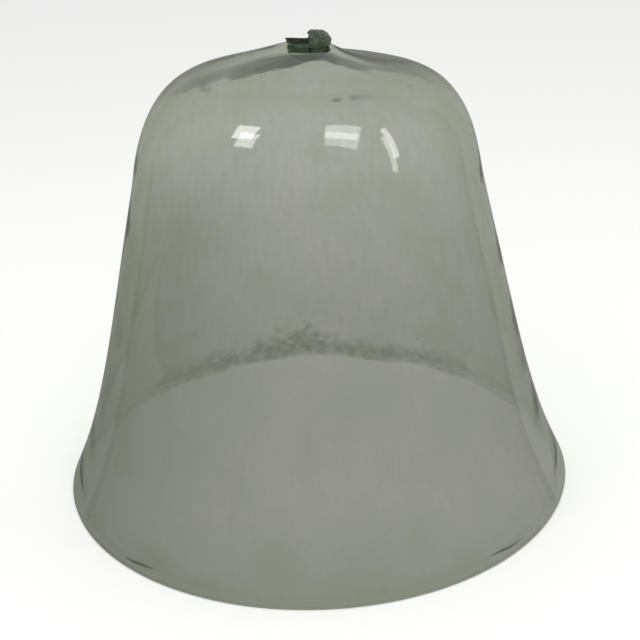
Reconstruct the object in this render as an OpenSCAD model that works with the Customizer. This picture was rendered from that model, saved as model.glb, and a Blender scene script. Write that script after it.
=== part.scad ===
// Garden cloche: a blown glass bell with a flared skirt, and a knob of darker glass on its crown
// that has broken down to its pad and a stump. Millimetres, +Z up.
// The origin is the centre of the flat land that the rim rests on.

/* [Rim] */
// Outer diameter of the rim
rim_d = 420; // [400:2:440]
// Thickness of the bead that stiffens the rim
rim_t = 5.6; // [5:0.1:7]
// Height over which the bead thins down to the wall
bead_h = 14; // [8:1:20]
// Radius of the bead's fire-polished edges
edge_r = 1.4; // [1:0.1:1.8]
// Lean of the skirt at the rim, in degrees from the horizontal
rim_lean = 64; // [60:1:70]

/* [Wall] */
// Thickness of the blown wall
wall_t = 4; // [3:0.1:5]
// Diameter of the waist, where the flared skirt has turned into the straight wall
waist_d = 316.6; // [306:0.2:326]
// Height of the waist
waist_h = 163; // [155:1:170]
// Diameter of the shoulder, where the straight wall ends
shoulder_d = 271.2; // [264:0.2:280]
// Height of the shoulder
shoulder_h = 259; // [250:1:265]

/* [Crown] */
// Diameter of the crown, where the shoulder has rolled over
crown_d = 165; // [157:0.2:173]
// Height of the crown's edge
crown_h = 338.9; // [336:0.1:342]
// Lean of the crown at its edge, in degrees
crown_lean = 10.5; // [7:0.1:13]
// Thickness of the crown
crown_t = 7; // [5:0.5:8]
// Diameter of the neck that the crown sweeps up to under the knob
neck_d = 35.7; // [30:0.1:40]
// Height of the neck
neck_h = 356.4; // [354:0.2:359]
// Lean of the crown at the neck, in degrees
neck_lean = 16.9; // [14:0.1:19]
// Thickness of the crown on the axis
neck_t = 8.4; // [8:0.2:12]

/* [Knob] */
// Distance that the knob sits to one side of the bell's axis
knob_shift = 5; // [0:0.1:6]
// Diameter of the knob
knob_d = 35; // [33:0.2:38]
// Height that the whole knob had above the neck
knob_h = 12.1; // [11.5:0.1:14]
// Diameter of the flat on top of the knob
knob_flat_d = 10; // [8:0.5:16]
// Height over which the knob rolls from its flat to its side
roll_h = 10; // [8:0.5:11]
// Height of the broken face above the neck, on the knob's axis
pad_h = 5.4; // [5:0.1:6]
// Narrowing of the pad from the broken face to the neck, on its diameter
pad_taper = 3; // [0:0.2:4]
// Tilt of the broken face, down towards the back, in degrees
break_tilt = 11; // [6:0.5:12]
// Tilt of the broken face, down towards +X, in degrees
break_roll = 3.4; // [0:0.2:5]
// Height of the stump above the broken face
stump_h = 6.4; // [5:0.1:7]

/* [Hidden] */
$fn = 240;

steps = 24;             // points on each curved stretch of an outline
far = 80;               // size of a cutting block that reaches past the knob
neck_rise = 2.4;        // rise of the crown from the neck to the axis, under the knob
root_h = 6;             // depth to which the pad is drawn below the neck, before the crown is cut from it
groove_r = 10.5;        // radius of the groove that a flake left across the pad
groove_deep = 0.6;      // depth of the groove
groove_at = -6;         // place of the groove, from the knob's axis

// The stump's broken side, from the pad up: its root, the notch, the lip that overhangs it and the top edge.
// Distances from the knob's axis and, as shares of the stump's height, from the broken face.
stump_root = [-0.6, 0];
stump_notch = [0.5, 0.37];
stump_lip = [-1.1, 0.63];
stump_edge = [1.3, 1];

rim_r = rim_d / 2;
waist = [waist_d / 2, waist_h];
shoulder = [shoulder_d / 2, shoulder_h];
crown = [crown_d / 2, crown_h];
neck = [neck_d / 2, neck_h];
apex = [0, neck_h + neck_rise];
knob_r = knob_d / 2;

// An outline runs from the rim up to the axis: these are the unit vectors along it and into the glass
function along(lean) = [-cos(lean), sin(lean)];
function inward(d) = [-d[1], d[0]];
function unit(v) = v / norm(v);

// A cubic curve through a span's first and last points, its direction, and points along it
function curve(s, t) =
    pow(1 - t, 3) * s[0] + 3 * t * pow(1 - t, 2) * s[1] + 3 * t * t * (1 - t) * s[2] + t * t * t * s[3];
function heading(s, t) =
    unit(pow(1 - t, 2) * (s[1] - s[0]) + 2 * t * (1 - t) * (s[2] - s[1]) + t * t * (s[3] - s[2]));
function trace(s, first = 1) = [for (i = [first:steps]) curve(s, i / steps)];
function arc(centre, from, to, n = 6) =
    [for (i = [0:n]) let (a = from + (to - from) * i / n) centre + edge_r * [cos(a), sin(a)]];
function ease(f) = let (x = min(max(f, 0), 1)) x * x * (3 - 2 * x);
function reverse(list) = [for (i = [len(list) - 1:-1:0]) list[i]];

// The rim's section: two rounded edges with a flat land between them, square to the axis
land_w = (rim_t - 2 * edge_r) / sin(rim_lean);
outer_edge = [rim_r - edge_r, edge_r];
inner_edge = outer_edge - [land_w, 0];
rim_start = outer_edge - edge_r * inward(along(rim_lean));

// The outer outline: flared skirt, straight wall, rolled shoulder, sloping crown and the cap under the knob.
// Each handle's length is a fraction of the rim's radius.
wall_dir = unit(shoulder - waist);
cap_handle = 0.03 * rim_r;
skirt_span = [
    rim_start, rim_start + 0.251 * rim_r * along(rim_lean), waist - 0.399 * rim_r * wall_dir, waist
];
shoulder_span = [
    shoulder, shoulder + 0.04 * rim_r * wall_dir, crown - 0.221 * rim_r * along(crown_lean), crown
];
crown_span = [
    crown, crown + 0.16 * rim_r * along(crown_lean), neck - 0.159 * rim_r * along(neck_lean), neck
];
cap_span = [neck, neck + cap_handle * along(neck_lean), apex + [cap_handle, 0], apex];
crown_line = concat(trace(crown_span, 0), trace(cap_span));
outer_line = concat(trace(skirt_span, 0), trace(shoulder_span, 0), crown_line);

// The inner outline: the outer one moved in by the glass's thickness, and closed by a low dome under the knob
function thickness(z) =
    wall_t + (rim_t - wall_t) * (1 - ease(z / bead_h))
    + (crown_t - wall_t) * ease((z - shoulder_h) / (crown_h - shoulder_h));
function inner_trace(s) =
    [for (i = [1:steps]) let (p = curve(s, i / steps)) p + thickness(p[1]) * inward(heading(s, i / steps))];

inner_neck = neck + crown_t * inward(along(neck_lean));
inner_apex = apex - [0, neck_t];
inner_cap_span = [
    inner_neck, inner_neck + cap_handle * along(neck_lean), inner_apex + [cap_handle, 0], inner_apex
];
inner_line = concat(inner_trace(skirt_span), inner_trace(shoulder_span), inner_trace(crown_span),
    trace(inner_cap_span));

module bell() {
    lower_edge = arc(outer_edge, -90, 90 - rim_lean);
    upper_edge = arc(inner_edge, -90 - rim_lean, -90);
    color([0.62, 0.66, 0.58, 0.45])
        rotate_extrude()
            polygon(concat(lower_edge, outer_line, reverse(inner_line), upper_edge));
}

// The crown's top as a solid, which gives the pad the crown's own surface to sit on
module crown_solid() {
    rotate_extrude()
        polygon(concat([[0, crown_h]], crown_line));
}

// Places its children in the broken face's own frame, on the knob's axis
module on_break() {
    translate([knob_shift, 0, neck_h + pad_h])
        rotate([-break_tilt, 0, 0])
            rotate([0, break_roll, 0])
                children();
}

// The knob as it was made: a round button with a rolled shoulder and a flat top
module whole_knob() {
    flat_r = knob_flat_d / 2;
    top = neck_h + knob_h;
    rolled = [for (i = [0:steps]) let (a = 90 * i / steps)
        [flat_r + (knob_r - flat_r) * cos(a), top - roll_h + roll_h * sin(a)]];
    translate([knob_shift, 0, 0])
        rotate_extrude()
            polygon(concat([[0, neck_h], [knob_r, neck_h]], rolled, [[0, top]]));
}

module knob_pad() {
    slope = pad_taper / 2 / pad_h;
    height = root_h + pad_h + root_h;
    color([0.20, 0.31, 0.19, 0.85])
        difference() {
            translate([knob_shift, 0, neck_h - root_h])
                cylinder(h = height, r1 = knob_r - slope * (root_h + pad_h), r2 = knob_r + slope * root_h);
            crown_solid();
            // Everything above the broken face
            on_break()
                translate([-far / 2, -far / 2, 0])
                    cube(far);
            // The groove, across the broken face
            on_break()
                translate([groove_at, 0, groove_r - groove_deep])
                    rotate([90, 0, 0])
                        cylinder(h = far, r = groove_r, center = true);
        }
}

module knob_stump() {
    side = [for (p = [stump_root, stump_notch, stump_lip, stump_edge]) [p[0], p[1] * stump_h]];
    color([0.29, 0.37, 0.28, 0.85])
        intersection() {
            whole_knob();
            on_break()
                rotate([90, 0, 0])
                    linear_extrude(far, center = true)
                        polygon(concat(side, [[far / 2, stump_h], [far / 2, 0]]));
        }
}

bell();
knob_pad();
knob_stump();
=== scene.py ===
"""A glass garden cloche: a hazed, hand-blown bell with the stub of a broken, darker knob."""

import math

import bmesh
import bpy
import numpy as np
from mathutils import Matrix, Vector


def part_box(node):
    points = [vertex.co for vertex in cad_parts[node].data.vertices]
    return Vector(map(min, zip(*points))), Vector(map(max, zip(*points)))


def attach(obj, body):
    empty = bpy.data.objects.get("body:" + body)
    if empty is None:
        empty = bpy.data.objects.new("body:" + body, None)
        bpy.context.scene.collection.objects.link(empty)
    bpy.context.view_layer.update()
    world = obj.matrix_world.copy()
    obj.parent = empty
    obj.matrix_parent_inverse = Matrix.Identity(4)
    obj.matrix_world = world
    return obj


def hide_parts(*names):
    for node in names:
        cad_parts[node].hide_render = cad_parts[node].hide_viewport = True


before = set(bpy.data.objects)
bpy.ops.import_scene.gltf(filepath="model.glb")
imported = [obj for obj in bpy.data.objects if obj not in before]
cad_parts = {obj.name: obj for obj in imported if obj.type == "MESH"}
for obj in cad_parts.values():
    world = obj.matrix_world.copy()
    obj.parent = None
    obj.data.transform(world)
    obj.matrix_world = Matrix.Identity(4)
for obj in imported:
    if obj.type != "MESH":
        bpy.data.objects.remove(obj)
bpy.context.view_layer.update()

MM = 0.001

# ---------------------------------------------------------------- sizes, from the CAD parts
RIM_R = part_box("bell")[1].x
CROWN_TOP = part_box("bell")[1].z
PAD_LOW, PAD_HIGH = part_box("knob_pad")
KNOB_X = (PAD_LOW.x + PAD_HIGH.x) / 2
KNOB_R = (PAD_HIGH.x - PAD_LOW.x) / 2
KNOB_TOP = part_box("knob_stump")[1].z

# ---------------------------------------------------------------- sizes of what only the looks need
TURNS = 320                     # vertices round the bell
STATION = 2.6 * MM              # spacing of the rings along the bell's outline
FINE_STATION = 0.8 * MM         # and near the knob
FINE_R = 28 * MM                # radius inside which the rings are that fine
FINE_FADE = 30 * MM             # and the distance over which their spacing grows
EASINGS = 14                    # passes that smooth the outline where the CAD joins its arcs
FINE_STEPS = 4000               # steps in which the outline's length is counted
RIM_LEAN = math.radians(64)     # lean of the skirt where it meets the rim's bead
EDGE_R = 1.4 * MM               # rounding of the rim's bead
LAND_H = 0.8 * EDGE_R           # height below which the bead counts as the rim's land

OUT_OF_ROUND = 0.35 * MM        # slow hollows in the blown wall
CORDING = 0.10 * MM             # and the fine cords in each of its faces
ASKEW = 0.6 * MM                # the crown is this much higher left of the knob, and lower right of it
SAG = 2.6 * MM                  # and this much more at the radius below
SAG_R = 58 * MM
SAG_WIDE = 31 * MM              # how far to each side of that radius it reaches
SAG_END = 85 * MM               # radius from which the crown comes back to true
SAG_FADE = 40 * MM              # and the distance over which it does
AXIS_R = 19 * MM                # radius inside which left passes over into right
SHIFT = 0.8 * MM                # how far the shoulder stands to the right

WAIST_R = KNOB_R - 1.4 * MM     # the pad's radius where it meets the crown
COLLAR = (1.0 * MM, 2.6 * MM)   # rise of the clear glass round the pad, on its left and its right
COLLAR_WIDE = 8.9 * MM          # distance over which it runs out
PAD_H = 5.4 * MM                # height of the pad on the knob's axis
ROOT = 1.7 * MM                 # depth to which the pad's dark glass is sunk in the crown
ROOT_ROUND = 0.6 * MM           # how far its buried side draws in
CHIP = 0.30 * MM                # depth of the chips in the pad's broken edge
RIPPLE = 0.10 * MM              # height of the fine arcs in broken glass
SUNK = 0.2 * MM                 # depth to which the stump is sunk in the pad
DENT = 0.35 * MM                # how far the stump's broken top is hollowed
PITTING = 0.22 * MM             # unevenness of its worn side
KNOB_FLAT = 5 * MM              # radius of the flat that the whole knob had on top
KNOB_ROLL = 10 * MM             # height over which it rolled down to its side


# ---------------------------------------------------------------- mesh helpers
def new_piece(name, verts, faces, slots, sharp=None):
    """A closed, smooth-shaded object; slots holds each face's material, sharp the angle of a crisp edge."""
    mesh = bpy.data.meshes.new(name)
    mesh.from_pydata([tuple(v) for v in verts], [], faces)
    mesh.polygons.foreach_set("material_index", slots)
    work = bmesh.new()
    work.from_mesh(mesh)
    bmesh.ops.recalc_face_normals(work, faces=work.faces)
    work.to_mesh(mesh)
    work.free()
    mesh.polygons.foreach_set("use_smooth", [True] * len(mesh.polygons))
    if sharp:
        mesh.set_sharp_from_angle(angle=math.radians(sharp))
    piece = bpy.data.objects.new(name, mesh)
    bpy.context.scene.collection.objects.link(piece)
    return piece


def ring_faces(rows, turns):
    """Quads between closed rings and a fan at each end, round the first and the last vertex."""
    faces = [(0, 1 + (j + 1) % turns, 1 + j) for j in range(turns)]
    for i in range(rows - 1):
        for j in range(turns):
            k = (j + 1) % turns
            a, b = 1 + i * turns, 1 + (i + 1) * turns
            faces.append((a + j, a + k, b + k, b + j))
    last, end = 1 + (rows - 1) * turns, 1 + rows * turns
    faces += [(end, last + j, last + (j + 1) % turns) for j in range(turns)]
    return faces


def ease(x):
    x = np.clip(x, 0, 1)
    return x * x * (3 - 2 * x)


def waves(count, slow, fast, seed):
    """A smooth random function of the angle round the bell and the height, between about -1 and 1."""
    draw = np.random.default_rng(seed)
    turns = draw.integers(slow, fast + 1, count)
    climbs = draw.uniform(-2.5, 2.5, count) * fast
    phases = draw.uniform(0, 2 * math.pi, count)
    sizes = draw.uniform(0.4, 1.0, count)

    def value(angle, height):
        total = 0
        for turn, climb, phase, size in zip(turns, climbs, phases, sizes):
            total = total + size * np.sin(turn * angle + climb * height / RIM_R + phase)
        return total / math.sqrt(count)

    return value


def lumps(count, shortest, longest, seed):
    """A smooth random function of place, between about -1 and 1, with these wavelengths."""
    draw = np.random.default_rng(seed)
    ways = draw.normal(size=(count, 3))
    ways /= np.linalg.norm(ways, axis=1)[:, None]
    pace = 2 * math.pi / draw.uniform(shortest, longest, count)
    phases = draw.uniform(0, 2 * math.pi, count)

    def value(points):
        return np.sin(points @ (ways * pace[:, None]).T + phases).sum(-1) / math.sqrt(count)

    return value


# ---------------------------------------------------------------- the bell
def cad_outline(node, facing):
    """The node's outer (facing 1) or inner (facing -1) outline, as (radius, height) from the rim up."""
    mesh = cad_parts[node].data
    points = set()
    for face in mesh.polygons:
        n = face.normal
        c = face.center
        radial = (n.x * c.x + n.y * c.y) / max(math.hypot(c.x, c.y), 1e-9)
        if facing * (radial + n.z) < 0.1 or c.z < 4 * EDGE_R:
            continue
        for i in face.vertices:
            p = mesh.vertices[i].co
            points.add((round(math.hypot(p.x, p.y), 6), round(p.z, 6)))
    axis = [p for p in points if p[0] < 1 * MM]
    keep = max(axis, key=lambda p: facing * p[1])
    points.difference_update(axis)
    return np.array(sorted(points, key=lambda p: (p[1], -p[0])) + [(0.0, keep[1])])


def curve_at(points, at, run):
    """Places on a smooth curve through points, at these distances along it."""
    slopes = np.gradient(points, run, axis=0)
    i = np.clip(np.searchsorted(run, at) - 1, 0, len(run) - 2)
    gap = (run[i + 1] - run[i])[:, None]
    t = (at[:, None] - run[i][:, None]) / gap
    return (
        (2 * t**3 - 3 * t**2 + 1) * points[i]
        + (t**3 - 2 * t**2 + t) * gap * slopes[i]
        + (3 * t**2 - 2 * t**3) * points[i + 1]
        + (t**3 - t**2) * gap * slopes[i + 1]
    )


def length_along(points):
    return np.r_[0, np.cumsum(np.hypot(*np.diff(points, axis=0).T))]


def stations(outline):
    """The outline's rings, from the rim to the axis: smoothed, and closer together near the knob."""
    keep = [outline[0]]
    for p in outline[1:-1]:
        if math.hypot(*(p - keep[-1])) > 1.2 * STATION:
            keep.append(p)
    keep = np.array(keep + [outline[-1]])
    run = length_along(keep)
    even = curve_at(keep, np.linspace(0, run[-1], int(run[-1] / STATION)), run)
    for _ in range(EASINGS):
        even[1:-1] = even[1:-1] / 2 + (even[:-2] + even[2:]) / 4
    run = length_along(even)
    steps = np.linspace(0, run[-1], FINE_STEPS)
    radius = np.interp(steps, run, even[:, 0])
    spacing = FINE_STATION + (STATION - FINE_STATION) * ease((radius - FINE_R) / FINE_FADE)
    count = np.r_[0, np.cumsum(run[-1] / FINE_STEPS / spacing[1:])]
    at = np.interp(np.linspace(0, count[-1], int(count[-1])), count, steps)
    return curve_at(even, at, run)


OUTER = stations(cad_outline("bell", 1))
INNER = stations(cad_outline("bell", -1))


def bead(outer_start, inner_start):
    """The rim's section, from the outer outline round the flat land to the inner outline."""
    wall = math.hypot(*(outer_start - inner_start))
    outer_centre = np.array([RIM_R - EDGE_R, EDGE_R])
    inner_centre = outer_centre - [(wall - 2 * EDGE_R) / math.sin(RIM_LEAN), 0]
    quarter = math.pi / 2
    first = [outer_centre + EDGE_R * np.array([math.cos(a), math.sin(a)])
             for a in np.linspace(quarter - RIM_LEAN, -quarter, 9)]
    last = [inner_centre + EDGE_R * np.array([math.cos(a), math.sin(a)])
            for a in np.linspace(-quarter, -quarter - RIM_LEAN, 7)]
    return np.array(first + last)


def set_askew(x, y, z):
    """The hand-made crown is lower right of the knob, and its shoulder stands off centre."""
    r = np.hypot(x, y)
    dip = ASKEW + SAG * np.exp(-(((r - SAG_R) / SAG_WIDE) ** 2))
    dip = dip * x / np.maximum(r, AXIS_R) * (1 - ease((r - SAG_END) / SAG_FADE))
    high = ease((z - 0.70 * CROWN_TOP) / (0.2 * CROWN_TOP))
    return x + SHIFT * high, y, z - dip * high


def collar(x, y):
    """The rise of the crown's clear glass round the pad."""
    from_knob = np.hypot(x - KNOB_X, y)
    share = 0.5 + 0.5 * (x - KNOB_X) / np.maximum(from_knob, 1 * MM)
    rise = COLLAR[0] + (COLLAR[1] - COLLAR[0]) * share
    return rise * np.exp(-(np.maximum(from_knob - WAIST_R, 0) / COLLAR_WIDE) ** 1.3)


def crown_height(x, y):
    """Height of the bell's outer surface near the knob."""
    line = OUTER[OUTER[:, 0] < 60 * MM][::-1]
    z = np.interp(np.hypot(x, y), line[:, 0], line[:, 1])
    return set_askew(x, y, z)[2] + collar(x, y)


def make_bell():
    ring = bead(OUTER[0], INNER[0])
    section = np.vstack([OUTER[::-1][1:], ring, INNER[:-1]])
    side = np.r_[np.ones(len(OUTER) - 1), np.zeros(len(ring)), -np.ones(len(INNER) - 1)]
    along = np.gradient(section, axis=0)
    along /= np.hypot(*along.T)[:, None]
    tilt = np.abs(along)

    angle = np.arange(TURNS) * 2 * math.pi / TURNS
    a, z = np.meshgrid(angle, section[:, 1])
    r = np.repeat(section[:, 0][:, None], TURNS, axis=1)
    side = np.repeat(side[:, None], TURNS, axis=1)

    # Blown by mouth: out of round and corded, but true at the rim and under the knob
    fade = ease((z - 8 * MM) / (60 * MM)) * ease((r - 26 * MM) / (40 * MM)) * (side != 0)
    shape = OUT_OF_ROUND * waves(7, 2, 4, 3)(a, z)
    cords = CORDING * np.where(side > 0, waves(12, 5, 14, 5)(a, z), waves(12, 5, 14, 8)(a, z))
    push = fade * (shape + cords)
    r = r + push * tilt[:, 1][:, None]
    z = z + 0.6 * push * tilt[:, 0][:, None]
    x, y, z = set_askew(r * np.cos(a), r * np.sin(a), z)
    z = z + collar(x, y) * (z > 0.9 * CROWN_TOP)

    body = np.stack([x, y, z], axis=-1).reshape(-1, 3)
    top = [0, 0, OUTER[-1][1] + collar(0.0, 0.0)]
    under = [0, 0, INNER[-1][1] + collar(0.0, 0.0)]
    verts = np.vstack([[top], body, [under]])
    faces = ring_faces(len(section), TURNS)
    near = np.hypot(verts[:, 0] - KNOB_X, verts[:, 1]) < WAIST_R - 0.4 * MM
    outer = np.r_[True, (side > 0).reshape(-1), False]
    land = verts[:, 2] < LAND_H
    joined = (near & outer) | land
    slots = [int(all(joined[i] for i in face)) for face in faces]
    return new_piece("blown_bell", verts, faces, slots)


bell = make_bell()
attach(bell, "root")
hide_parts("bell")


# ---------------------------------------------------------------- the knob
def broken_face():
    """The frame of the pad's broken face: its point on the knob's axis, its right, its back and its up."""
    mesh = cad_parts["knob_pad"].data
    face = max((f for f in mesh.polygons if f.normal.z > 0.9), key=lambda f: f.area)
    up = face.normal.normalized()
    height = (up.dot(face.center) - up.x * KNOB_X) / up.z
    right = Vector((0, 1, 0)).cross(up).normalized()
    return [np.array(v) for v in (Vector((KNOB_X, 0, height)), right, up.cross(right), up)]


BREAK, RIGHT, BACK, UP = broken_face()
STUMP_H = max((np.array(v.co) - BREAK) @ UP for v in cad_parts["knob_stump"].data.vertices)


def on_break(right, back, up):
    """Points given in the broken face's frame."""
    flat = BREAK + np.multiply.outer(right, RIGHT) + np.multiply.outer(back, BACK)
    return flat + np.multiply.outer(up, UP)


def break_height(x, y):
    return BREAK[2] - ((x - KNOB_X) * UP[0] + y * UP[1]) / UP[2]


def ripples(right, back, struck):
    """The fine arcs that a blow leaves in broken glass, spreading from the point struck."""
    away = np.hypot(right - struck[0], back - struck[1])
    spacing = 1.9 * MM + 0.12 * away
    return RIPPLE * np.sin(2 * math.pi * away / spacing) * np.exp(-away / (22 * MM))


def make_pad():
    turns = 200
    angle = np.arange(turns) * 2 * math.pi / turns
    cos, sin = np.cos(angle), np.sin(angle)
    rough = lumps(14, 2.5 * MM, 9 * MM, 21)

    def ring(radius, height):
        return np.stack([KNOB_X + radius * cos, radius * sin, height], axis=-1)

    rows = []
    base = crown_height(KNOB_X + WAIST_R * cos, WAIST_R * sin)
    bottom = BREAK[2] - PAD_H - ROOT
    for share in (0.35, 0.7, 0.88, 0.96):
        height = bottom + 0.5 * MM * share**6
        rows.append(ring(share * (WAIST_R - ROOT_ROUND), np.full(turns, height)))
    corner = 0.4 * MM
    for t in (0.12, 0.3, 0.5, 0.7, 0.85):
        radius = WAIST_R - ROOT_ROUND * (1 - t) ** 2
        rows.append(ring(radius, bottom + corner + t * (base - bottom - corner)))

    # The exposed side leans out to the broken edge, whose rim is chipped
    seed = np.stack([KNOB_R * cos, KNOB_R * sin, 0 * cos], axis=-1)
    chip = CHIP * np.clip(rough(seed) - 0.2, 0, 1.5)
    edge_r = KNOB_R - chip
    edge = break_height(KNOB_X + edge_r * cos, edge_r * sin) - chip
    for t in np.linspace(0, 1, 9)[:-1]:
        radius = WAIST_R + (edge_r - WAIST_R) * t**0.8
        place = ring(radius, base + t * (edge - base))
        place[:, :2] += 0.10 * MM * rough(place)[:, None] * np.stack([cos, sin], axis=-1)
        rows.append(place)
    rows.append(ring(edge_r, edge))

    # The broken face: a shell-shaped fracture with a groove where a flake came away
    groove_at, groove_r, groove_deep = -6 * MM, 10.5 * MM, 0.6 * MM
    struck = (-15 * MM, 9 * MM)
    for share in 1 - np.linspace(0.02, 0.97, 34) ** 1.1:
        x, y = KNOB_X + share * edge_r * cos, share * edge_r * sin
        right, back = (x - KNOB_X) / RIGHT[0], y
        height = break_height(x, y) + ripples(right, back, struck) * ease((1 - share) * 8)
        height -= np.maximum(0, groove_deep - (right - groove_at) ** 2 / (2 * groove_r))
        rows.append(np.stack([x, y, height], axis=-1))

    body = np.array(rows).reshape(-1, 3)
    verts = np.vstack([[[KNOB_X, 0, bottom]], body, [BREAK]])
    faces = ring_faces(len(rows), turns)
    centres = np.array([verts[list(face)].mean(0) for face in faces])
    sunk = centres[:, 2] < crown_height(centres[:, 0], centres[:, 1]) - 0.05 * MM
    local = centres - BREAK
    inside = np.hypot(local[:, 0], local[:, 1]) < KNOB_R - 1.5 * MM
    covered = (local @ RIGHT > 0.2 * MM) & inside & (np.abs(local @ UP) < 0.3 * MM)
    return new_piece("pad_glass", verts, faces, (sunk | covered).astype(int), 35)


def knob_radius(height):
    """The whole knob's radius at a height, or 0 above its top."""
    roll = np.clip((height - (KNOB_TOP - KNOB_ROLL)) / KNOB_ROLL, 0, 1)
    radius = KNOB_FLAT + (KNOB_R - KNOB_FLAT) * np.sqrt(1 - roll**2)
    return np.where(height < KNOB_TOP, radius, 0)


def reach(start, way, up):
    """How far it is from the points start along way, at height up over the break, to the knob's surface."""
    low, high = np.zeros(len(start)), np.full(len(start), 3 * KNOB_R)
    for _ in range(40):
        middle = (low + high) / 2
        p = start + middle[:, None] * way
        world = on_break(p[:, 0], p[:, 1], up)
        inside = np.hypot(world[:, 0] - KNOB_X, world[:, 1]) < knob_radius(world[:, 2])
        low, high = np.where(inside, middle, low), np.where(inside, high, middle)
    return low


def make_stump():
    flat_n, round_n = 56, 104
    rough = lumps(16, 3 * MM, 9 * MM, 33)
    # The broken side's outline: its root, the notch, the overhanging lip and the top edge
    side_up = np.array([-0.05, 0, 0.37, 0.63, 1, 1.2]) * STUMP_H
    side_in = np.array([-0.6, -0.6, 0.5, -1.1, 1.3, 1.3]) * MM
    ups = np.r_[-SUNK, STUMP_H * (1 - (1 - np.linspace(0, 1, 44)) ** 1.4)]

    rows = []
    for up in ups:
        left = np.interp(up, side_up, side_in)
        soft = np.interp(up + 0.3 * MM * np.array([-1, 0, 1]), side_up, side_in).mean()
        left = (left + 2 * soft) / 3
        corner = np.array([[left, 0.0]])
        front = -reach(corner, np.array([[0.0, -1.0]]), up)[0]
        back = reach(corner, np.array([[0.0, 1.0]]), up)[0]
        across = np.linspace(back, front, flat_n, endpoint=False)
        fade = ease((across - front) / (2 * MM)) * ease((back - across) / (2 * MM))
        scar = 2.5 * ripples(across, np.full(flat_n, up), (4 * MM, 9 * MM)) * fade
        flat = np.stack([left + scar, across], axis=-1)

        centre = np.array([left + 2.5 * MM, 0.0])
        first = math.atan2(front, left - centre[0])
        last = math.atan2(back, left - centre[0])
        turn = np.linspace(first, last, round_n, endpoint=False)
        way = np.stack([np.cos(turn), np.sin(turn)], axis=-1)
        far = reach(np.repeat(centre[None], round_n, axis=0), way, up)
        place = centre + far[:, None] * way
        solid = np.concatenate([place, np.full((round_n, 1), up)], axis=1)
        fade = ease((turn - first) / 0.25) * ease((last - turn) / 0.25)
        place = place + (PITTING * (rough(solid) - 0.6) * fade)[:, None] * way
        outline = np.vstack([flat, place])
        rows.append(on_break(outline[:, 0], outline[:, 1], up))

    # The top: another shell-shaped fracture, almost level with the pad's
    rim = outline
    middle = rim.mean(0)
    for share in 1 - np.linspace(0.03, 0.95, 24):
        place = middle + share * (rim - middle)
        lift = ripples(place[:, 0], place[:, 1], (2 * MM, -12 * MM)) * ease((1 - share) * 6)
        lift = lift - DENT * ease((1 - share) * 3) * (place[:, 0] > 0)
        points = on_break(place[:, 0], place[:, 1], ups[-1])
        rows.append(points + lift[:, None] * UP)

    body = np.array(rows).reshape(-1, 3)
    low = on_break(middle[0], middle[1], ups[0])
    high = on_break(middle[0], middle[1], ups[-1] - DENT)
    verts = np.vstack([[low], body, [high]])
    faces = ring_faces(len(rows), flat_n + round_n)
    centres = np.array([verts[list(face)].mean(0) for face in faces])
    sunk = (centres - BREAK) @ UP < 0
    return new_piece("stump_glass", verts, faces, sunk.astype(int), 35)


pad = make_pad()
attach(pad, "root")
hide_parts("knob_pad")
stump = make_stump()
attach(stump, "root")
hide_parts("knob_stump")


# ---------------------------------------------------------------- node helpers
def add(tree, kind, inputs=None, output=0, **settings):
    """Makes a node, sets or links its inputs, and returns one of its outputs, or the node if it has none."""
    made = tree.nodes.new(kind)
    for key, value in settings.items():
        setattr(made, key, value)
    for key, value in (inputs or {}).items():
        if isinstance(value, bpy.types.NodeSocket):
            tree.links.new(value, made.inputs[key])
        else:
            made.inputs[key].default_value = value
    return made.outputs[output] if made.outputs else made


def calc(tree, operation, a, b=0.0, clamp=False):
    return add(tree, "ShaderNodeMath", {0: a, 1: b}, operation=operation, use_clamp=clamp)


def step(tree, value, low, high):
    """0 below low, 1 above high and a smooth step between."""
    inputs = {"Value": value, "From Min": low, "From Max": high}
    return add(tree, "ShaderNodeMapRange", inputs, interpolation_type="SMOOTHSTEP", clamp=True)


def blend(tree, factor, a, b):
    colours = [(*c, 1) if isinstance(c, tuple) else c for c in (a, b)]
    return add(tree, "ShaderNodeMix", {0: factor, 6: colours[0], 7: colours[1]}, output=2, data_type="RGBA")


def cloud(tree, where, size, low, high, stretch=(1, 1, 1), detail=3.0):
    """Soft patches of this size: 0 where there is none, 1 inside them."""
    scale = [s / size for s in stretch]
    scaled = add(tree, "ShaderNodeVectorMath", {0: where, 1: scale}, operation="MULTIPLY")
    noise = add(tree, "ShaderNodeTexNoise", {"Vector": scaled, "Scale": 1.0, "Detail": detail})
    return step(tree, noise, low, high)


def split(tree, vector):
    made = tree.nodes.new("ShaderNodeSeparateXYZ")
    tree.links.new(vector, made.inputs[0])
    return made.outputs


def material(name):
    mat = bpy.data.materials.new(name)
    mat.use_nodes = True
    mat.node_tree.nodes.clear()
    return mat, mat.node_tree


def finish_glass(tree, absorb, shadow, **surface):
    """Glass that tints the light of lamps by shadow, and absorbs this much per metre in each channel."""
    inputs = {name.replace("_", " "): value for name, value in surface.items()}
    body = add(tree, "ShaderNodeBsdfPrincipled", inputs)
    clear = add(tree, "ShaderNodeBsdfTransparent", {"Color": (*shadow, 1)})
    path = tree.nodes.new("ShaderNodeLightPath")
    mixed = add(tree, "ShaderNodeMixShader", {0: path.outputs["Is Shadow Ray"], 1: body, 2: clear})
    density = max(absorb) * 1.2
    tint = (*[1 - a / density for a in absorb], 1)
    depth = add(tree, "ShaderNodeVolumeAbsorption", {"Color": tint, "Density": density})
    add(tree, "ShaderNodeOutputMaterial", {"Surface": mixed, "Volume": depth})


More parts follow.
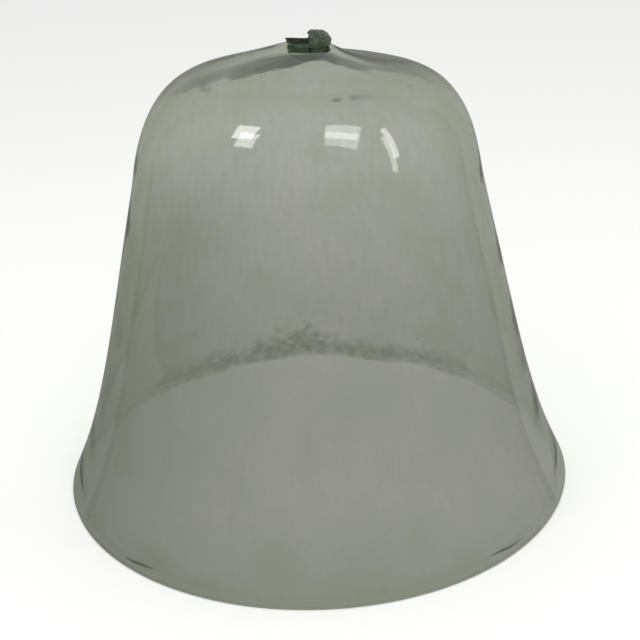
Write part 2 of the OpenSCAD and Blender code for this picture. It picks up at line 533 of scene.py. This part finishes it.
# ---------------------------------------------------------------- materials
BELL_DEPTH = (3.2, 2.2, 3.8)        # absorption of the bell's glass, per metre
KNOB_DEPTH = (44, 26, 48)           # and of the knob's
GLASS_IOR = 1.5
TIDE_X = -12 * MM                   # where the tide line of dirt stands highest
TIDE_HALF = 70 * MM                 # how far to each side its peak reaches
TIDE_H = 12 * MM                    # how ragged the line is away from the peak
TIDE_PEAK_H = 30 * MM               # and how much more so at the peak
PAINTED_BAND_LOW = (0.868 * CROWN_TOP, 0.876 * CROWN_TOP)    # heights over which the painted dark reflection sets in
PAINTED_BAND_CUT = (0.867 * CROWN_TOP, 0.872 * CROWN_TOP)    # and below which it never reaches
PAINTED_BAND_HIGH = (0.995 * CROWN_TOP, 0.955 * CROWN_TOP)   # heights over which it runs out
PAINTED_BAND_RAG = 7 * MM                   # raggedness of its edges
PAINTED_BAND_SLOPE = 0.10                   # rise of its lower edge to the sides
PAINTED_BAND_MIDDLE = (75 * MM, 30 * MM)    # distances from the middle over which it gets darker
SEED_SPACING = 26 * MM
RIM_BAND = (10 * MM, 2 * MM)        # heights over which the rim gets duller


def bell_glass():
    """Old garden glass: olive and grey clouds, grime run down the wall, a painted dark reflection of the
    room round the back of the shoulder and a tide line of grime above the rim's back."""
    mat, tree = material("blown_glass")
    where = add(tree, "ShaderNodeTexCoord", output="Object")
    x, y, z = split(tree, where)
    facing = add(tree, "ShaderNodeLayerWeight", {"Blend": 0.5}, output="Facing")

    # The body's clouds
    olive = cloud(tree, where, 46 * MM, 0.40, 0.66, detail=4.0)
    grey = cloud(tree, where, 30 * MM, 0.48, 0.72, detail=5.0)
    brushed = cloud(tree, where, 7 * MM, 0.42, 0.75, stretch=(1, 1, 0.22), detail=4.0)
    tint = blend(tree, olive, (0.985, 0.985, 0.985), (0.925, 0.950, 0.880))
    tint = blend(tree, grey, tint, (0.915, 0.925, 0.915))
    tint = blend(tree, calc(tree, "MULTIPLY", brushed, 0.8), tint, (0.88, 0.89, 0.85))
    tint = blend(tree, calc(tree, "POWER", facing, 2.5), tint, (0.60, 0.66, 0.47))

    # Dirt: a ragged tide line above the back of the rim, and runs down the wall
    fine = cloud(tree, where, 6 * MM, 0.40, 0.66, detail=5.0)
    streaks = cloud(tree, where, 12 * MM, 0.62, 0.78, stretch=(1, 1, 0.08))
    back = step(tree, y, 0.35 * RIM_R, 0.92 * RIM_R)
    peak = step(tree, calc(tree, "ABSOLUTE", calc(tree, "ADD", x, -TIDE_X)), TIDE_HALF, 0.0)
    tall = calc(tree, "ADD", calc(tree, "MULTIPLY", peak, TIDE_PEAK_H), TIDE_H)
    ragged = calc(tree, "MULTIPLY", cloud(tree, where, 17 * MM, 0.30, 0.70, detail=5.0), tall)
    low = calc(tree, "SUBTRACT", 1.0, step(tree, calc(tree, "SUBTRACT", z, ragged), 2 * MM, 24 * MM))
    flecked = calc(tree, "ADD", fine, 0.45, clamp=True)
    tide = calc(tree, "MULTIPLY", calc(tree, "MULTIPLY", low, back), flecked)
    tint = blend(tree, calc(tree, "MULTIPLY", tide, 0.9), tint, (0.40, 0.44, 0.37))
    tint = blend(tree, calc(tree, "MULTIPLY", streaks, 0.35), tint, (0.84, 0.85, 0.80))

    # Painted reflection: a dark band round the shoulder's back, standing for the dark room that the crown
    # mirrors, with a ragged lower edge
    band_rag = cloud(tree, where, 13 * MM, 0.25, 0.75, stretch=(1, 1, 0.6), detail=5.0)
    lifted = calc(tree, "ADD", z, calc(tree, "MULTIPLY", band_rag, PAINTED_BAND_RAG))
    sides = calc(tree, "MULTIPLY", calc(tree, "ABSOLUTE", x), PAINTED_BAND_SLOPE)
    start = step(tree, calc(tree, "SUBTRACT", lifted, sides), *PAINTED_BAND_LOW)
    start = calc(tree, "MULTIPLY", start, step(tree, z, *PAINTED_BAND_CUT))
    end = step(tree, lifted, *PAINTED_BAND_HIGH)
    rear = step(tree, y, -30 * MM, 30 * MM)
    painted_band = calc(tree, "MULTIPLY", calc(tree, "MULTIPLY", start, end), rear)
    band_patches = cloud(tree, where, 11 * MM, 0.38, 0.62, stretch=(0.6, 1, 1.6), detail=5.0)
    middle = calc(tree, "MULTIPLY", step(tree, calc(tree, "ABSOLUTE", x), *PAINTED_BAND_MIDDLE), 0.22)
    band_darkness = calc(tree, "ADD", middle, calc(tree, "MULTIPLY", band_patches, 0.35))
    patchy_painted_band = calc(tree, "MULTIPLY", painted_band, calc(tree, "ADD", band_darkness, 0.50, clamp=True))
    tint = blend(tree, patchy_painted_band, tint, (0.17, 0.18, 0.19))

    # Seeds: dark specks in the glass, in about one cell of three
    cells = tree.nodes.new("ShaderNodeTexVoronoi")
    cells.inputs["Scale"].default_value = 1 / SEED_SPACING
    tree.links.new(where, cells.inputs["Vector"])
    chosen = step(tree, add(tree, "ShaderNodeSeparateColor", {0: cells.outputs["Color"]}), 0.66, 0.67)
    seeds = calc(tree, "MULTIPLY", step(tree, cells.outputs["Distance"], 0.045, 0.025), chosen)
    tint = blend(tree, seeds, tint, (0.35, 0.36, 0.32))

    # The tide line of dirt together with half of the painted dark reflection: both dull the glass and cut
    # its clarity
    dirt_and_painted_band = calc(tree, "MAXIMUM", tide, calc(tree, "MULTIPLY", patchy_painted_band, 0.5))
    clarity = calc(tree, "SUBTRACT", 1.0, calc(tree, "MULTIPLY", dirt_and_painted_band, 0.10))
    haze = calc(tree, "MULTIPLY", calc(tree, "ADD", grey, brushed), 0.012)
    clarity = calc(tree, "SUBTRACT", clarity, haze)
    gloss = calc(tree, "ADD", calc(tree, "MULTIPLY", calc(tree, "ADD", grey, dirt_and_painted_band), 0.04), 0.015)
    gloss = calc(tree, "ADD", gloss, calc(tree, "MULTIPLY", step(tree, z, *RIM_BAND), 0.07))
    cords = add(tree, "ShaderNodeTexNoise", {"Vector": where, "Scale": 60.0, "Detail": 2.0})
    bump = add(tree, "ShaderNodeBump", {"Strength": 0.25, "Distance": 0.15 * MM, "Height": cords})
    finish_glass(tree, BELL_DEPTH, (0.93, 0.95, 0.92), Base_Color=tint, Roughness=gloss, IOR=GLASS_IOR,
                 Transmission_Weight=clarity, Normal=bump)
    return mat


def knob_glass():
    """Bottle-green glass: clean where it was shaped, frosted and dusty where it broke, with painted dark
    reflections near the break.
    """
    mat, tree = material("knob_glass")
    where = add(tree, "ShaderNodeTexCoord", output="Object")
    crushed = cloud(tree, where, 3.5 * MM, 0.50, 0.70, detail=5.0)
    cords = cloud(tree, where, 6 * MM, 0.35, 0.70, stretch=(1, 1, 2.5))
    tint = blend(tree, cords, (0.40, 0.56, 0.35), (0.25, 0.34, 0.23))
    tint = blend(tree, crushed, tint, (0.30, 0.33, 0.29))
    x, _, z = split(tree, where)
    # Painted reflection: the glass turns darker above the break's height, and near black on the pad's upper
    # left, for the dark bands that the broken glass reflects inside the knob
    painted_dark_top = step(tree, z, BREAK[2], BREAK[2] + 2 * MM)
    tint = blend(tree, calc(tree, "MULTIPLY", painted_dark_top, 0.65), tint, (0.30, 0.335, 0.28))
    painted_dark_left = calc(tree, "MULTIPLY", step(tree, z, BREAK[2] - 2.2 * MM, BREAK[2] - 1.2 * MM),
                 step(tree, x, KNOB_X + 1 * MM, KNOB_X - 1 * MM))
    tint = blend(tree, calc(tree, "MULTIPLY", painted_dark_left, 0.8), tint, (0.07, 0.075, 0.07))
    gloss = calc(tree, "ADD", calc(tree, "MULTIPLY", crushed, 0.30), 0.05)
    clarity = calc(tree, "SUBTRACT", 0.82, calc(tree, "MULTIPLY", crushed, 0.30))
    rough = add(tree, "ShaderNodeTexNoise", {"Vector": where, "Scale": 500.0, "Detail": 3.0})
    bump = add(tree, "ShaderNodeBump", {"Strength": 0.4, "Distance": 0.2 * MM, "Height": rough})
    finish_glass(tree, KNOB_DEPTH, (0.55, 0.70, 0.50), Base_Color=tint, Roughness=gloss, IOR=GLASS_IOR,
                 Transmission_Weight=clarity, Normal=bump)
    return mat


def fused(name, absorb, tint):
    """The face where two glasses are fused, or where the rim stands: light isn't bent there."""
    mat, tree = material(name)
    finish_glass(tree, absorb, tint, Base_Color=(*tint, 1), Roughness=0.0, IOR=1.0, Transmission_Weight=1.0)
    return mat


for glass in (bell_glass(), fused("blown_glass_joint", BELL_DEPTH, (1, 1, 1))):
    bell.data.materials.append(glass)
# The knob's joint faces carry a grey-green tint: a painted reflection that darkens the rays through the
# pad's root and between pad and stump, for the dark band seen there
for glass in (knob_glass(), fused("knob_glass_joint", KNOB_DEPTH, (0.58, 0.66, 0.57))):
    pad.data.materials.append(glass)
    stump.data.materials.append(glass)


# ---------------------------------------------------------------- stage
FLOOR_HALF = 30.0
PALE = (0.94, 0.94, 0.935)
SKY = 0.86                          # brightness of the world, as a lamp and as the backdrop
NEUTRAL = (0.99, 1.0, 0.925)        # cast of all that the glass shows or mirrors
# What the glass shows of the floor: its brightness at these distances from the middle, in metres
SHOWN = ((0.0, 0.31), (0.25, 0.32), (0.35, 0.335), (0.5, 0.365), (0.7, 0.395), (1.05, 0.445), (1.6, 0.46))
SHADED = (0.72, 0.75, 0.70)         # how that is dimmed on the left
NEAR = (0.80, 0.85, 0.74)           # and in front
SCREEN = 58                         # half the angle, in degrees, that the pale screen behind the glass spans
ROOM = 0.09                         # brightness of the room beside it
DARK_EDGE = 0.0                     # and of the screen's dark edge
SCREEN_LEFT, SCREEN_RIGHT = 0.20, 0.34    # brightness of its two ends
LAMP_FAR = 1.8                      # distance of the lamps from the shoulder, in metres


def ramp(tree, value, stops, reach):
    """Brightness by value: stops are (value, brightness), and reach is the value at the ramp's end."""
    scaled = calc(tree, "DIVIDE", value, reach, clamp=True)
    made = tree.nodes.new("ShaderNodeValToRGB")
    tree.links.new(scaled, made.inputs[0])
    marks = made.color_ramp.elements
    while len(marks) < len(stops):
        marks.new(0.5)
    for mark, (at, level) in zip(marks, stops):
        mark.position = at / reach
        mark.color = (level, level, level, 1)
    return made.outputs[0]


def shown(tree, place, distance):
    """What the glass shows of the floor at a place: a little darker and greener on the left and in front."""
    x, y, _ = split(tree, place)
    level = ramp(tree, distance, SHOWN, SHOWN[-1][0])
    plain = add(tree, "ShaderNodeVectorMath", {0: level, 1: NEUTRAL}, operation="MULTIPLY")
    left = step(tree, x, 0.0, -0.22)
    left = calc(tree, "MULTIPLY", left, step(tree, distance, 1.6, 0.35))
    front = step(tree, y, -0.06, -0.23)
    shaded = blend(tree, left, (1, 1, 1), SHADED)
    near = blend(tree, front, (1, 1, 1), NEAR)
    first = add(tree, "ShaderNodeVectorMath", {0: plain, 1: shaded}, operation="MULTIPLY")
    return add(tree, "ShaderNodeVectorMath", {0: first, 1: near}, operation="MULTIPLY")


def mirrored(tree, way):
    """What the glass mirrors in a direction: a pale screen with dark edges, in a darker room."""
    x, y, z = split(tree, way)
    bearing = calc(tree, "MULTIPLY", calc(tree, "ARCTAN2", x, y), 180 / math.pi)
    left, right = 180 - SCREEN, 180 + SCREEN
    stops = ((0, ROOM), (left - 4, ROOM), (left - 3, DARK_EDGE), (left, DARK_EDGE),
             (left + 2, SCREEN_LEFT), (right - 2, SCREEN_RIGHT), (right, DARK_EDGE),
             (right + 3, DARK_EDGE), (right + 4, ROOM))
    low = ramp(tree, calc(tree, "ADD", bearing, 180.0), stops, 360)
    high = step(tree, z, 0.55, 0.75)
    level = blend(tree, high, low, (ROOM, ROOM, ROOM))
    return add(tree, "ShaderNodeVectorMath", {0: level, 1: NEUTRAL}, operation="MULTIPLY")


def by_ray(tree, plain, glossy, through):
    """One shader for the camera and the room's own light, one that glass mirrors and one that it shows."""
    path = tree.nodes.new("ShaderNodeLightPath")
    first = add(tree, "ShaderNodeMixShader", {0: path.outputs["Is Glossy Ray"], 1: plain, 2: glossy})
    return add(tree, "ShaderNodeMixShader", {0: path.outputs["Is Transmission Ray"], 1: first, 2: through})


def make_floor():
    h = FLOOR_HALF
    mesh = bpy.data.meshes.new("floor")
    mesh.from_pydata([(-h, -h, 0), (h, -h, 0), (h, h, 0), (-h, h, 0)], [], [(0, 1, 2, 3)])
    floor = bpy.data.objects.new("floor", mesh)
    bpy.context.scene.collection.objects.link(floor)
    floor.location.z = -0.1 * MM
    mat, tree = material("floor")
    seen = tree.nodes.new("ShaderNodeNewGeometry")
    place = seen.outputs["Position"]
    distance = add(tree, "ShaderNodeVectorMath", {0: place}, output="Value", operation="LENGTH")
    back = {0: seen.outputs["Incoming"], 1: (-1, -1, -1)}
    way = add(tree, "ShaderNodeVectorMath", back, operation="MULTIPLY")
    plain = add(tree, "ShaderNodeBsdfDiffuse", {"Color": (*PALE, 1)})
    glossy = add(tree, "ShaderNodeEmission", {"Color": mirrored(tree, way)})
    through = add(tree, "ShaderNodeEmission", {"Color": shown(tree, place, distance)})
    add(tree, "ShaderNodeOutputMaterial", {"Surface": by_ray(tree, plain, glossy, through)})
    floor.data.materials.append(mat)


def make_world():
    world = bpy.data.worlds.new("studio")
    bpy.context.scene.world = world
    world.use_nodes = True
    tree = world.node_tree
    tree.nodes.clear()
    way = add(tree, "ShaderNodeTexCoord", output="Generated")
    path = tree.nodes.new("ShaderNodeLightPath")
    sky = blend(tree, path.outputs["Is Camera Ray"], (SKY, SKY, SKY), tuple(SKY * c for c in PALE))
    far = SHOWN[-1][1]
    plain = add(tree, "ShaderNodeBackground", {"Color": sky})
    glossy = add(tree, "ShaderNodeBackground", {"Color": mirrored(tree, way)})
    through = add(tree, "ShaderNodeBackground", {"Color": (*[far * c for c in NEUTRAL], 1)})
    add(tree, "ShaderNodeOutputWorld", {"Surface": by_ray(tree, plain, glossy, through)})


def softbox(name, azimuth, elevation, wide, tall, lean, glow, tone=(1, 1, 1)):
    """A rectangular lamp aimed at the bell's shoulder. Azimuth runs from -Y towards +X, wide and tall are
    shares of the lamp's distance, lean turns it about its beam, and glow is its brightness."""
    a, e = math.radians(azimuth), math.radians(elevation)
    way = Vector((math.sin(a) * math.cos(e), -math.cos(a) * math.cos(e), math.sin(e)))
    lamp = bpy.data.lights.new(name, "AREA")
    lamp.shape = "RECTANGLE"
    lamp.size = wide * LAMP_FAR
    lamp.size_y = tall * LAMP_FAR
    lamp.energy = glow * math.pi * lamp.size * lamp.size_y
    lamp.color = tone
    ob = bpy.data.objects.new(name, lamp)
    bpy.context.scene.collection.objects.link(ob)
    aim = Vector((0, -0.5 * RIM_R, 0.89 * CROWN_TOP))
    turn = way.to_track_quat("Z", "Y").to_matrix().to_4x4() @ Matrix.Rotation(math.radians(lean), 4, "Z")
    ob.matrix_world = Matrix.Translation(aim + way * LAMP_FAR) @ turn
    ob.visible_camera = False


make_floor()
make_world()
softbox("left_softbox", azimuth=-65.8, elevation=53.6, wide=0.226, tall=0.27, lean=25.6, glow=9.0)
softbox("right_softbox", azimuth=41.9, elevation=58.6, wide=0.34, tall=0.31, lean=-39.0, glow=5.4)
softbox("side_strip", azimuth=69.5, elevation=34.0, wide=0.075, tall=0.50, lean=-17.5, glow=7.0,
        tone=(1, 1, 0.93))


# ---------------------------------------------------------------- camera
CAMERA_FAR = 5                      # distance from the rim's centre, in radii of the rim
CAMERA_HIGH = 30.64                 # elevation, in degrees
PAN, TILT, ROLL = 0.327, 6.559, -2.288
LENS = 67.54


def turned(a, b, degrees):
    """Two unit vectors at right angles, turned in their own plane."""
    c, s = math.cos(math.radians(degrees)), math.sin(math.radians(degrees))
    return a * c + b * s, b * c - a * s


def make_camera():
    down = math.radians(CAMERA_HIGH)
    look = Vector((0, math.cos(down), -math.sin(down)))
    side = Vector((1, 0, 0))
    up = side.cross(look)
    place = -look * CAMERA_FAR * RIM_R
    look, side = turned(look, side, PAN)
    look, up = turned(look, up, TILT)
    side, up = turned(side, up, ROLL)
    camera = bpy.data.cameras.new("camera")
    camera.lens = LENS
    camera.sensor_width = 36
    camera.clip_start = 0.01
    camera.clip_end = 100
    ob = bpy.data.objects.new("camera", camera)
    bpy.context.scene.collection.objects.link(ob)
    turn = Matrix((side, up, -look)).transposed().to_4x4()
    ob.matrix_world = Matrix.Translation(place) @ turn
    bpy.context.scene.camera = ob


make_camera()
bpy.context.scene.view_settings.view_transform = "Standard"
